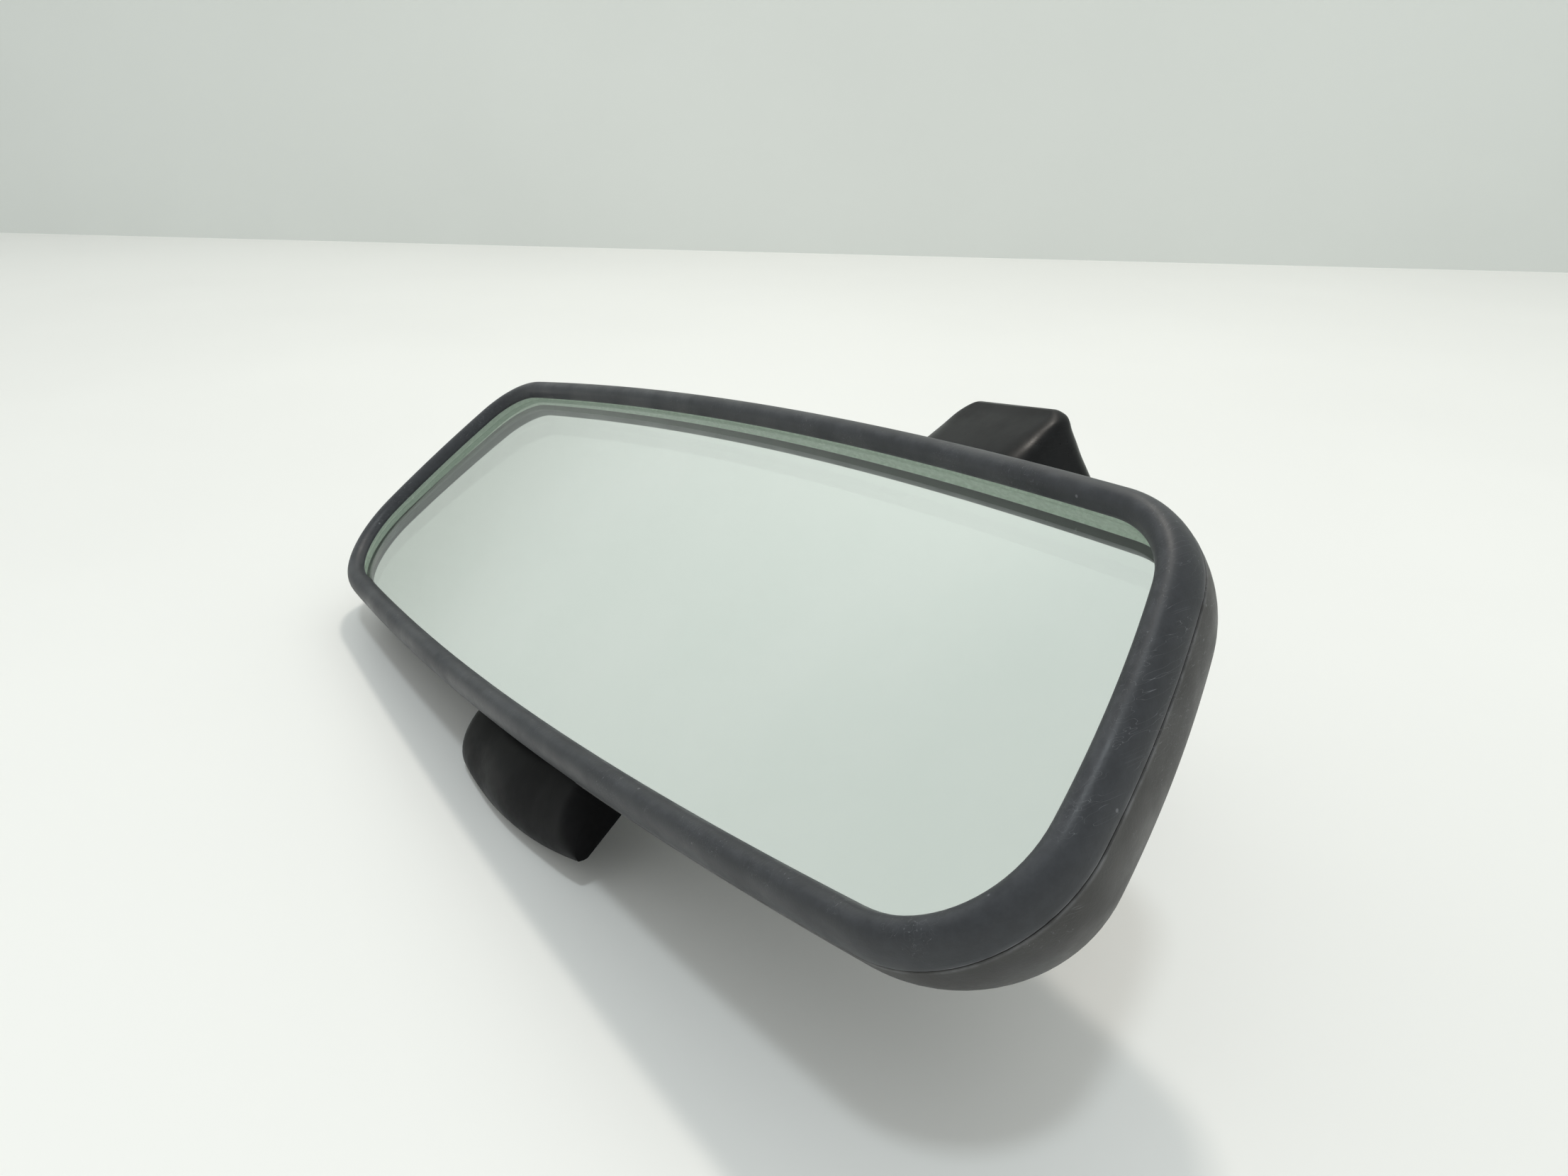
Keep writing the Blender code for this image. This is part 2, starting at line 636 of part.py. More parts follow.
def build_foot():
    cover = mesh_object("foot_cover", foot_solid(0, 0, 0, FOOT_HEIGHT), BLACK_GLOSS_PLASTIC, FOOT)
    hollow = foot_solid(COVER_WALL, 6.0, COVER_WALL, FOOT_HEIGHT - COVER_WALL)
    boolean(cover, mesh_object("cover_hollow", hollow, None, FOOT), "DIFFERENCE")
    window = rounded_box((-14.4, -30.0, -11.5), (14.4, 0.0, 13.0), 4.0, 3)
    boolean(cover, mesh_object("arm_window", window, None, FOOT), "DIFFERENCE")
    key_hole = cylinder((11.0, *SET_SCREW_AT), (25.0, *SET_SCREW_AT), 2.4)
    boolean(cover, mesh_object("key_hole", key_hole, None, FOOT), "DIFFERENCE")
    channel = box((-CHANNEL_HALF_WIDTH, CHANNEL_FLOOR, -30.0), (CHANNEL_HALF_WIDTH, 30.0, CHANNEL_TOP))
    cutter = mesh_object("button_channel", channel, None, FOOT)
    boolean(cover, cutter, "DIFFERENCE")

    inset = COVER_WALL + 0.4
    block = foot_solid(inset, 0.3, inset, FOOT_HEIGHT - inset - 1.0)
    base = mesh_object("foot_base", block, DIECAST, FOOT)
    front_cut = box((-30, -40, -30), (30, 0.9, 14.0))
    boolean(base, mesh_object("base_front_cut", front_cut, None, FOOT), "DIFFERENCE")
    socket = mesh_object("base_socket", sphere((0, 0, 0), BOWL_INNER), None, FOOT, FOOT_FRAME_TURN)
    boolean(base, socket, "DIFFERENCE")
    boolean(base, cutter, "DIFFERENCE")
    thread = cylinder((5.0, *SET_SCREW_AT), (25.0, *SET_SCREW_AT), 2.0 + GAP)
    boolean(base, mesh_object("set_screw_hole", thread, None, FOOT), "DIFFERENCE")
    return base


CAP_SCREW_SPOTS = (("upper", -11.2, 9.1), ("lower", 11.2, -9.1))


def build_foot_socket(base):
    """The cap that holds the upper ball in the foot, and its screws."""
    plate = rounded_box((-14.0, -MOUTH_HEIGHT, -12.0), (14.0, 0.6, 12.0), 1.0, 2)
    cap = mesh_object("foot_socket_cap", plate, DIECAST, FOOT)
    hollow = mesh_object("cap_hollow", sphere((0, 0, 0), BOWL_INNER), None, FOOT, FOOT_FRAME_TURN)
    boolean(cap, hollow, "DIFFERENCE")
    for label, x, z in CAP_SCREW_SPOTS:
        hole = cylinder((x, -12, z), (x, 10.0, z), SCREW_RADIUS + GAP, 16)
        cutter = mesh_object(f"cap_hole_{label}", hole, None, FOOT)
        boolean(cap, cutter, "DIFFERENCE")
        boolean(base, cutter, "DIFFERENCE")
        place = Matrix.Translation((x, -MOUTH_HEIGHT - GAP, z)) @ FOOT_FRAME_TURN
        screw(f"cap_screw_{label}", 11.5, FOOT, place)


def build_foot_fixings():
    profile = [(0.0, 5.2), (1.4, 5.2), (2.0, 4.6), (2.0, 0.0), (1.1, 0.0), (1.1, 2.4), (0.0, 2.4)]
    turned("foot_set_screw", profile, STEEL, FOOT, facing((13.6, *SET_SCREW_AT), (-1, 0, 0)), 16)
    length = BUTTON_LENGTH - 7.0
    low = CHANNEL_TOP - BUTTON_LENGTH + 2.0
    floor = CHANNEL_FLOOR + 0.5
    bow = [(floor + 1.2 * sin(pi * i / 8), low + length * i / 8) for i in range(9)]
    loop = [(y - 0.2, z) for y, z in bow] + [(y + 0.2, z) for y, z in reversed(bow)]
    strip = loft([[Vector((x, y, z)) for y, z in loop] for x in (-4.0, 4.0)])
    mesh_object("button_spring", strip, STEEL, FOOT)


# ---------------------------------------------------------------- assembly

clear_scene()
PARTS = collection("interior_rearview_mirror")
CUTTERS = collection("cutters")

CHARCOAL_PLASTIC = material("charcoal_plastic", (0.028, 0.030, 0.033), 0.5)
BLACK_PLASTIC = material("black_plastic", (0.012, 0.012, 0.013), 0.42)
BLACK_GLOSS_PLASTIC = material("black_gloss_plastic", (0.012, 0.012, 0.013), 0.3)
MIRROR_GLASS = material("mirror_glass", (0.75, 0.8, 0.77), 0.02, 1.0)
BACKING_FILM = material("backing_film", (0.2, 0.21, 0.22), 0.6)
FOAM = material("foam", (0.05, 0.05, 0.055), 0.95)
NYLON = material("nylon", (0.75, 0.73, 0.68), 0.45)
DIECAST = material("diecast_zinc", (0.42, 0.42, 0.43), 0.5, 1.0)
STEEL = material("steel", (0.55, 0.56, 0.58), 0.3, 1.0)
CHROME = material("polished_steel", (0.7, 0.7, 0.72), 0.12, 1.0)
SATIN_BLACK_METAL = material("satin_black_metal", (0.02, 0.02, 0.022), 0.4, 0.4)

OUTLINE = opening_outline()
TILT = Matrix.Rotation(radians(-SIDE_LIFT), 4, "Y") @ Matrix.Rotation(radians(-LEAN_BACK), 4, "X")
HEAD_MATRIX = Matrix.Translation(HEAD_PLACE) @ TILT
HEAD = empty("head", Matrix.Translation(Vector(HEAD_PLACE) * MM) @ TILT)
ARM_LINE = Vector(UPPER_BALL) - lower_ball_on_table()
ARM = empty("arm", facing(lower_ball_on_table() * MM, ARM_LINE))
FOOT_TILT = Matrix.Rotation(radians(FOOT_ROLL), 4, "Y")
FOOT = empty("foot", Matrix.Translation(Vector(UPPER_BALL) * MM) @ FOOT_TILT)

build_bezel()
build_shell()
build_glass()
build_foam()
build_pins()
build_bracket()
build_retainer()
build_toggle_spring()
build_lever()
spherical_cup("lower_ball_seat", BALL_RADIUS + GAP, SEAT_OUTER, NYLON, HEAD, socket_matrix())
spherical_cup("lower_spring_cup", CUP_INNER, CUP_OUTER, STEEL, HEAD, socket_matrix())
spherical_cup("upper_ball_seat", BALL_RADIUS + GAP, CUP_OUTER, NYLON, FOOT, FOOT_FRAME_TURN)
build_arm()
build_foot_socket(build_foot())
build_foot_fixings()
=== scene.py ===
"""Looks of the interior rearview mirror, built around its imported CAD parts.

Lengths are in mm until a mesh is placed, and metres after that. The head's pieces are made in its own
upright axes (X along the opening, Y into it, Z up), then tilted as it lies on the table. The foot's
pieces are made in its own axes, whose origin is its ball.
"""

import json
from math import acos, cos, pi, radians, sin, sqrt, tan

import bmesh
import bpy
from mathutils import Matrix, Vector


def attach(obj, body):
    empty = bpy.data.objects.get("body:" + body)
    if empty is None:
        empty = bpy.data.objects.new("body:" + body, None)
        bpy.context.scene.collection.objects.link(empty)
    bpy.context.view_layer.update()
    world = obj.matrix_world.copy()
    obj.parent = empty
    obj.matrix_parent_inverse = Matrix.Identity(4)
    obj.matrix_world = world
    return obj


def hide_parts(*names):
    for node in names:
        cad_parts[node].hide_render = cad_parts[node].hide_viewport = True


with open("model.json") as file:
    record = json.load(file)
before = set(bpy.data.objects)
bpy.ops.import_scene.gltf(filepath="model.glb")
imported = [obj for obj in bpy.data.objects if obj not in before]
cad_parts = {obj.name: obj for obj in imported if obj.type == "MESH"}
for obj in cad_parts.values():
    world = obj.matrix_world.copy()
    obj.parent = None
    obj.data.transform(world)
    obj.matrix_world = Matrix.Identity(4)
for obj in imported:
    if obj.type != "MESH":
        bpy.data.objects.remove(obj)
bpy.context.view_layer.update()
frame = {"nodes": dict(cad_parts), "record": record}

MM = 0.001
GAP = 0.3

# Stance on the table
LEAN_BACK = 51.8
SIDE_LIFT = 7.0
HEAD_PLACE = (0.8, -49.3, 28.15)
UPPER_BALL = (28.3, 40.7, 21.75)
FOOT_ROLL = -7.5

# The head
HALF_TOP = 105.1
HALF_BOTTOM = 117.75
OPENING_HEIGHT = 59.1
BOW_TOP = 4.9
BOW_BOTTOM = 5.8
BOW_SIDE = 2.8
TRIM_TOP = 9.4
TRIM_BOTTOM = 17.6
RIM_WIDTH = 5.25
SEAM_DEPTH = 3.4
SIDE_FLARE = 0.016
SIDE_CURL = 0.0263
SHELL_DEPTH = 25.8
SHELL_WALL = 1.6
GLASS_FRONT = 0.6
GLASS_OVERLAP = 1.6
GLASS_THIN = 3.2
GLASS_THICK = 5.6
GLASS_EDGE = 0.4
PIVOT_PIN_AT = (14.0, 52.0)  # y and z
LEVER_PIN_AT = (12.0, -3.0)
PIN_RADIUS = 1.5
PIVOT_EAR = (34.6, 37.4, 3.4, 22.6)  # inner face, outer face, half height, back
LEVER_EAR = (28.7, 31.3, 2.8, 20.4)
ARM_HOLE_AT = (0.0, 17.5, 30.5)  # its front end
ARM_HOLE_HALF_WIDTH = 22.6
ARM_HOLE_HALF_HEIGHT = 18.6
LEVER_SLOT = ((-28.0, 2.0, -16.0), (28.0, 18.6, -3.6))  # two opposite corners

# The dip lever
LEVER_HALF_WIDTH = 26.0
LEVER_FRONT = 7.8
LEVER_BACK = 16.6
LEVER_TOP = -9.6
LEVER_BOTTOM = -23.5
LEVER_RISE = 2.8  # of its lower edge, from the middle to the sides
LEVER_PLAN_RADIUS = 4.0

# The foot
FOOT_SOLE = -19.85
FOOT_HEIGHT = 68.0
FOOT_BACK = 18.5
COVER_WALL = 1.6
CHANNEL_HALF_WIDTH = 8.5
CHANNEL_FLOOR = 12.3
CHANNEL_TOP = 20.0
SET_SCREW_AT = (15.6, 8.0)  # y and z
KEY_HOLE_RADIUS = 2.4
ARM_WINDOW = ((-14.4, -30.0, -11.5), (14.4, 0.0, 13.0))  # two opposite corners
FOOT_SECTIONS = (  # height above the sole, width, front, back, front and back corner radius
    (0.0, 31.6, -8.0, FOOT_BACK, 7.0, 1.2),
    (1.6, 34.2, -9.7, FOOT_BACK, 8.0, 1.2),
    (12.0, 35.8, -11.2, FOOT_BACK, 8.5, 1.2),
    (30.0, 35.0, -12.0, FOOT_BACK, 8.5, 1.2),
    (46.2, 33.8, -12.6, FOOT_BACK, 8.5, 1.2),
    (46.5, 33.8, -12.6, 18.4, 8.5, 1.3),
    (51.6, 33.2, -12.6, 15.6, 8.5, 3.4),
    (56.6, 32.4, -12.4, 13.8, 8.0, 4.8),
    (59.0, 31.8, -11.0, 13.0, 7.4, 5.2),
    (61.4, 31.2, -7.0, 12.2, 7.0, 5.2),
    (64.0, 30.2, -1.4, 11.3, 6.0, 5.0),
    (65.8, 28.8, 2.8, 10.6, 3.9, 3.7),
    (66.9, 26.6, 5.3, 10.0, 2.4, 2.2),
    (67.7, 23.6, 6.9, 9.2, 1.1, 1.1),
    (FOOT_HEIGHT, 21.6, 7.5, 8.7, 0.55, 0.55),
)
FLAT_SECTIONS = 5  # how many of them reach the flat back

# Edges that turn by more than this many degrees are shaded sharp
SHARP_ANGLE = 32.0
BEZEL_SHARP_ANGLE = 50.0

# Stage, in metres
FLOOR_REACH = 3.0
WALL_LEFT = (-1.064, -0.052, 0.0)
WALL_RIGHT = (-0.213, 0.831, 0.0)
WALL_BEYOND = 2.5
WALL_HEIGHT = 2.2
# Painted light: the wall gets lighter between these heights
WALL_LIGHTENS = (0.2, 0.45)  # from this height to this one
LIGHT_AIM = (0.0, 0.0, 0.03)

# Camera: its place in metres, its lens in mm
CAMERA_AT = (0.19396, -0.12832, 0.13235)
CAMERA_RIGHT = (0.57289, 0.81962, 0.00326)
CAMERA_DOWN = (0.32195, -0.22137, -0.92051)
CAMERA_LENS = 28.278

TILT = Matrix.Rotation(radians(-SIDE_LIFT), 4, "Y") @ Matrix.Rotation(radians(-LEAN_BACK), 4, "X")
HEAD = Matrix.Scale(MM, 4) @ Matrix.Translation(HEAD_PLACE) @ TILT
FOOT = (
    Matrix.Scale(MM, 4)
    @ Matrix.Translation(UPPER_BALL)
    @ Matrix.Rotation(radians(FOOT_ROLL), 4, "Y")
)


# ---------------------------------------------------------------- shader helpers


class Finish:
    """A material being built: its node tree, its shader and the piece's own coordinates."""

    def __init__(self, name, colour, roughness, metallic=0.0):
        self.material = bpy.data.materials.new(name)
        self.material.use_nodes = True
        self.tree = self.material.node_tree
        self.shader = self.tree.nodes["Principled BSDF"]
        self.shader.inputs["Base Color"].default_value = (*colour, 1.0)
        self.shader.inputs["Roughness"].default_value = roughness
        self.shader.inputs["Metallic"].default_value = metallic
        self.where = self.node("ShaderNodeTexCoord").outputs["Object"]

    def node(self, kind, **settings):
        made = self.tree.nodes.new(kind)
        for key, value in settings.items():
            setattr(made, key, value)
        return made

    def feed(self, socket, value):
        """Links a socket, or sets a constant on it."""
        if isinstance(value, bpy.types.NodeSocket):
            self.tree.links.new(value, socket)
        else:
            socket.default_value = value

    def set(self, **values):
        for key, value in values.items():
            self.feed(self.shader.inputs[key.replace("_", " ")], value)

    def stretched(self, scale, turn=(0.0, 0.0, 0.0)):
        mapping = self.node("ShaderNodeMapping")
        self.feed(mapping.inputs["Vector"], self.where)
        mapping.inputs["Scale"].default_value = scale
        mapping.inputs["Rotation"].default_value = turn
        return mapping.outputs["Vector"]

    def noise(self, scale, detail=3.0, roughness=0.55, where=None):
        made = self.node("ShaderNodeTexNoise")
        self.feed(made.inputs["Vector"], where or self.where)
        made.inputs["Scale"].default_value = scale
        made.inputs["Detail"].default_value = detail
        made.inputs["Roughness"].default_value = roughness
        return made.outputs["Fac"]

    def span(self, value, low, high, to_low=0.0, to_high=1.0):
        """value from low to high, mapped smoothly to the range to_low to to_high."""
        made = self.node("ShaderNodeMapRange", interpolation_type="SMOOTHSTEP")
        for socket, number in zip(made.inputs, (value, low, high, to_low, to_high)):
            self.feed(socket, number)
        return made.outputs["Result"]

    def maths(self, operation, first, second):
        made = self.node("ShaderNodeMath", operation=operation)
        self.feed(made.inputs[0], first)
        self.feed(made.inputs[1], second)
        return made.outputs[0]

    def blend(self, share, first, second):
        """A colour between two, as share goes from 0 to 1."""
        made = self.node("ShaderNodeMix", data_type="RGBA")
        self.feed(made.inputs[0], share)
        for socket, colour in ((made.inputs[6], first), (made.inputs[7], second)):
            self.feed(socket, (*colour, 1.0) if isinstance(colour, tuple) else colour)
        return made.outputs[2]

    def attribute(self, name):
        return self.node("ShaderNodeAttribute", attribute_name=name).outputs["Fac"]

    def specks(self, scale, size, rarity):
        """1 on small scattered dots, 0 elsewhere."""
        cells = self.node("ShaderNodeTexVoronoi")
        self.feed(cells.inputs["Vector"], self.where)
        cells.inputs["Scale"].default_value = scale
        dot = self.span(cells.outputs["Distance"], size, size * 0.5)
        split = self.node("ShaderNodeSeparateColor")
        self.feed(split.inputs[0], cells.outputs["Color"])
        kept = self.maths("GREATER_THAN", split.outputs[0], rarity)
        return self.maths("MULTIPLY", dot, kept)

    def scratches(self, scale, turn, width, rarity):
        """1 on sparse thin straight lines, 0 elsewhere."""
        along = self.stretched((scale, scale * 0.018, scale), turn)
        lines = self.noise(1.0, 1.0, 0.4, along)
        thin = self.span(self.maths("ABSOLUTE", self.maths("SUBTRACT", lines, 0.5), 0.0), width, 0.0)
        patches = self.span(self.noise(scale * 0.05, 2.0), rarity, rarity + 0.05)
        return self.maths("MULTIPLY", thin, patches)

    def bump(self, height, strength, distance, before=None):
        made = self.node("ShaderNodeBump")
        made.inputs["Strength"].default_value = strength
        made.inputs["Distance"].default_value = distance
        self.feed(made.inputs["Height"], height)
        if before is not None:
            self.feed(made.inputs["Normal"], before)
        return made.outputs["Normal"]


# Pale tint for scuffs and dust, and also the colour of the painted seam highlight
PALE_SCUFFS_AND_HIGHLIGHT = (0.30, 0.31, 0.33)
DARK_SCUFFS = (0.03, 0.03, 0.032)


def moulded_plastic(name, dark, light, roughness, grain, dust=0.35, gloss=0.5, tint=PALE_SCUFFS_AND_HIGHLIGHT):
    """Moulded plastic: fine grain, uneven sheen, scuffs, dust, a painted highlight along the seam and a
    slightly paler crest.
    """
    made = Finish(name, dark, roughness)
    cloud = made.span(made.noise(42.0, 4.0, 0.6), 0.32, 0.68)
    mottle = made.span(made.noise(620.0, 3.0, 0.65), 0.36, 0.66)
    tone = made.maths("ADD", made.maths("MULTIPLY", cloud, 0.55), made.maths("MULTIPLY", mottle, 0.45))
    colour = made.blend(tone, dark, light)
    scuffs = made.scratches(1500.0, (0.4, 0.9, 0.5), 0.006, 0.52)
    more_scuffs = made.scratches(1100.0, (1.3, 0.2, 2.1), 0.005, 0.55)
    scuffs = made.maths("MAXIMUM", scuffs, more_scuffs)
    # Painted highlight along the seam and a slightly paler crest, blended towards the pale tint
    highlight_and_crest_share = made.maths("MULTIPLY", made.attribute("seam_highlight_and_crest"), made.span(made.noise(260.0, 4.0), 0.3, 0.7))
    specks = made.maths("MULTIPLY", made.specks(520.0, 0.16, 0.93), dust)
    marks_and_highlight = made.maths("MAXIMUM", made.maths("MULTIPLY", scuffs, 0.35), made.maths("MULTIPLY", highlight_and_crest_share, 0.5))
    marks_and_highlight = made.maths("MAXIMUM", marks_and_highlight, specks)
    colour = made.blend(marks_and_highlight, colour, tint)
    sheen = made.span(made.noise(95.0, 3.0, 0.5), 0.3, 0.7, roughness - 0.07, roughness + 0.08)
    rough = made.maths("ADD", sheen, made.maths("MULTIPLY", mottle, 0.05))
    normal = made.bump(made.noise(2600.0, 2.0, 0.6), grain, 0.00006)
    normal = made.bump(made.noise(180.0, 2.0), 0.08, 0.0004, normal)
    normal = made.bump(scuffs, -0.15, 0.00005, normal)
    made.set(Base_Color=colour, Roughness=rough, Normal=normal, Specular_IOR_Level=gloss)
    return made.material


def metal(name, dark, light, roughness, grain_scale, streaked=False):
    """Bare metal: cast or brushed grain, with uneven colour and fine scratches."""
    made = Finish(name, dark, roughness, 1.0)
    where = made.stretched((1.0, 1.0, 0.06)) if streaked else made.where
    grain = made.noise(grain_scale, 4.0, 0.6, where)
    cloud = made.span(made.noise(120.0, 3.0), 0.3, 0.7)
    colour = made.blend(cloud, dark, light)
    scuffs = made.scratches(2200.0, (0.5, 1.1, 0.3), 0.006, 0.5)
    colour = made.blend(made.maths("MULTIPLY", scuffs, 0.4), colour, light)
    rough = made.span(grain, 0.3, 0.7, roughness - 0.06, roughness + 0.08)
    normal = made.bump(grain, 0.25, 0.00005)
    made.set(Base_Color=colour, Roughness=rough, Normal=normal)
    return made.material


def soft_sheet(name, dark, light, roughness, scale):
    """Foam, film or nylon: a dull body colour with small pores."""
    made = Finish(name, dark, roughness)
    pores = made.noise(scale, 4.0, 0.7)
    made.set(
        Base_Color=made.blend(made.span(pores, 0.35, 0.65), dark, light),
        Roughness=made.span(pores, 0.3, 0.7, roughness - 0.05, roughness + 0.05),
        Normal=made.bump(pores, 0.3, 0.0001),
    )
    return made.material


def clear_glass():
    """Slightly green float glass, with faint smears."""
    made = Finish("float_glass", (0.975, 0.997, 0.98), 0.0)
    smears = made.span(made.noise(26.0, 5.0, 0.6), 0.45, 0.8, 0.0, 0.035)
    made.set(Transmission_Weight=1.0, IOR=1.52, Roughness=smears)
    return made.material


def silvering():
    """The silver layer seen through the glass, with faint grey clouding."""
    made = Finish("silvering", (0.95, 0.96, 0.95), 0.0, 1.0)
    cloud = made.span(made.noise(32.0, 4.0, 0.6), 0.3, 0.75)
    made.set(
        Base_Color=made.blend(cloud, (0.93, 0.95, 0.935), (0.96, 0.97, 0.96)),
        Roughness=made.span(made.noise(60.0, 3.0), 0.3, 0.8, 0.012, 0.05),
    )
    return made.material


def ground_edge():
    """The matt ground rim of the glass: its pale green is partly its own tint and partly painted light
    gathered in it, with a painted glow from its emission.
    """
    made = Finish("ground_glass_edge", (0.45, 0.60, 0.47), 0.6)
    chips = made.noise(900.0, 3.0, 0.7)
    made.set(
        Base_Color=made.blend(made.span(chips, 0.35, 0.7), (0.34, 0.44, 0.35), (0.48, 0.58, 0.49)),
        Normal=made.bump(chips, 0.4, 0.00008),
        # Painted glow: this emission stands in for light gathered in the glass edge
        Emission_Color=(0.34, 0.41, 0.34, 1.0),
        Emission_Strength=0.4,
    )
    return made.material


# ---------------------------------------------------------------- mesh helpers


def linked(name, data):
    """A new object that holds a mesh, lamp or camera, in the scene's collection."""
    made = bpy.data.objects.new(name, data)
    bpy.context.scene.collection.objects.link(made)
    return made


def piece(name, shape, finish, body, matrix, replaced=()):
    """A visible piece from a bmesh in mm: placed, shaded, and riding on its CAD body."""
    mesh = bpy.data.meshes.new(name)
    bmesh.ops.recalc_face_normals(shape, faces=shape.faces)
    shape.transform(matrix)
    shape.to_mesh(mesh)
    shape.free()
    mesh.shade_smooth()
    mesh.materials.append(finish)
    made = linked(name, mesh)
    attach(made, body)
    if replaced:
        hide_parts(*replaced)
    return made


def cutter(shape, matrix):
    """A hidden tool for a Boolean, removed once it has been used."""
    mesh = bpy.data.meshes.new("cutter")
    bmesh.ops.recalc_face_normals(shape, faces=shape.faces)
    if shape.calc_volume(signed=True) < 0:
        bmesh.ops.reverse_faces(shape, faces=shape.faces)
    shape.transform(matrix)
    shape.to_mesh(mesh)
    shape.free()
    return linked("cutter", mesh)


def carve(target, steps):
    """Cuts or joins each (tool, operation) in turn, and keeps only the result."""
    for tool, operation in steps:
        step = target.modifiers.new("carve", "BOOLEAN")
        step.operation = operation
        step.object = tool
        step.solver = "EXACT"
    bake(target)
    for tool, _ in steps:
        bpy.data.objects.remove(tool, do_unlink=True)


def bake(target):
    """Turns the modifiers' result into the piece's own mesh."""
    bpy.context.view_layer.update()
    graph = bpy.context.evaluated_depsgraph_get()
    mesh = bpy.data.meshes.new_from_object(target.evaluated_get(graph), depsgraph=graph)
    target.modifiers.clear()
    target.data = mesh
    mesh.shade_smooth()
    mesh.set_sharp_from_angle(angle=radians(SHARP_ANGLE))


def box(low, high):
    shape = bmesh.new()
    bmesh.ops.create_cube(shape, size=1.0)
    size = Vector(high) - Vector(low)
    middle = (Vector(high) + Vector(low)) / 2
    shape.transform(Matrix.Translation(middle) @ Matrix.Diagonal((*size, 1.0)))
    return shape


def soft_box(low, high, radius, segments=4):
    shape = box(low, high)
    bmesh.ops.bevel(
        shape, geom=shape.edges[:], offset=radius, segments=segments, profile=0.5, affect="EDGES"
    )
    return shape


def rod(start, end, radius, segments=40):
    start = Vector(start)
    along = Vector(end) - start
    shape = bmesh.new()
    bmesh.ops.create_cone(
        shape, cap_ends=True, segments=segments, radius1=radius, radius2=radius, depth=along.length
    )
    turn = along.to_track_quat("Z", "Y").to_matrix().to_4x4()
    shape.transform(Matrix.Translation(start + along / 2) @ turn)
    return shape


def loft(rings, closed=False, capped=True):
    """Faces between successive rings of points; closed joins the last ring to the first."""
    shape = bmesh.new()
    rows = [[shape.verts.new(point) for point in ring] for ring in rings]
    pairs = list(zip(rows, rows[1:]))
    if closed:
        pairs.append((rows[-1], rows[0]))
    elif capped:
        shape.faces.new(rows[0])
        shape.faces.new(rows[-1])
    for lower, upper in pairs:
        for i in range(len(lower)):
            j = (i + 1) % len(lower)
            shape.faces.new((lower[i], lower[j], upper[j], upper[i]))
    return shape


def catmull_rom(p, q, r, w, t):
    """A number between q and r, with p before them and w after them."""
    square = 2 * p - 5 * q + 4 * r - w
    cube = 3 * q - p - 3 * r + w
    return 0.5 * (2 * q + (r - p) * t + square * t * t + cube * t**3)


def spline(points, steps):
    """A smooth curve through points of any dimension, as tuples."""
    made = []
    last = len(points) - 1
    for i in range(last):
        around = [points[max(0, min(last, i + k))] for k in (-1, 0, 1, 2)]
        for s in range(steps):
            made.append(tuple(catmull_rom(*numbers, s / steps) for numbers in zip(*around)))
    made.append(tuple(points[-1]))
    return made


def store_seam_highlight_and_crest(target, share_of):
    """Stores how much each point is lightened, from 0 to 1: a painted highlight along the seam, and a
    paler crest.
    """
    values = target.data.attributes.new("seam_highlight_and_crest", "FLOAT", "POINT")
    for i, vertex in enumerate(target.data.vertices):
        values.data[i].value = share_of(vertex.co)


# ---------------------------------------------------------------- the mirror's outline


def bowed(start, end, bow, trim_start, trim_end, count):
    """Points on a shallow arc, which stops short of both ends."""
    start = Vector(start)
    along = Vector(end) - start
    outward = Vector((-along.y, along.x)).normalized()
    first = trim_start / along.length
    last = 1 - trim_end / along.length
    spots = [first + (last - first) * i / (count - 1) for i in range(count)]
    return [start + along * t + outward * bow * 4 * t * (1 - t) for t in spots]


def rounded_corner(before, after, count):
    """Points on a round that joins two edges in their own directions."""
    leave = (before[-1] - before[-2]).normalized()
    arrive = (after[1] - after[0]).normalized()
    turn = acos(max(-1.0, min(1.0, leave.dot(arrive))))
    radius = (after[0] - before[-1]).length / (2 * sin(turn / 2))
    handle = 4 / 3 * tan(turn / 4) * radius
    a, d = before[-1], after[0]
    b, c = a + leave * handle, d - arrive * handle
    spots = [(i + 1) / (count + 1) for i in range(count)]
    return [
        a * (1 - t) ** 3 + b * 3 * (1 - t) ** 2 * t + c * 3 * (1 - t) * t**2 + d * t**3 for t in spots
    ]


def opening_outline(long_count=64, side_count=22, corner_count=20):
    """The lip's outline, clockwise from the top left, as (x, z) vectors in mm."""
    top_left, top_right = (-HALF_TOP, OPENING_HEIGHT), (HALF_TOP, OPENING_HEIGHT)
    bottom_right, bottom_left = (HALF_BOTTOM, 0.0), (-HALF_BOTTOM, 0.0)
    edges = [
        bowed(top_left, top_right, BOW_TOP, TRIM_TOP, TRIM_TOP, long_count),
        bowed(top_right, bottom_right, BOW_SIDE, TRIM_TOP, TRIM_BOTTOM, side_count),
        bowed(bottom_right, bottom_left, BOW_BOTTOM, TRIM_BOTTOM, TRIM_BOTTOM, long_count),
        bowed(bottom_left, top_left, BOW_SIDE, TRIM_BOTTOM, TRIM_TOP, side_count),
    ]
    points = []
    for before, after in zip(edges, edges[1:] + edges[:1]):
        points += before + rounded_corner(before, after, corner_count)
    return points


OUTLINE = opening_outline()


def offset_outline(distance):
    """The lip's outline moved outwards, in mm."""
    moved = []
    for i, point in enumerate(OUTLINE):
        along = (OUTLINE[(i + 1) % len(OUTLINE)] - OUTLINE[i - 1]).normalized()
        moved.append(point + Vector((-along.y, along.x)) * distance)
    return moved


def at_depth(points, depth):
    """Outline points as (x, depth, z); depth is a number, or a function of z."""
    if callable(depth):
        return [Vector((p.x, depth(p.y), p.y)) for p in points]
    return [Vector((p.x, depth, p.y)) for p in points]


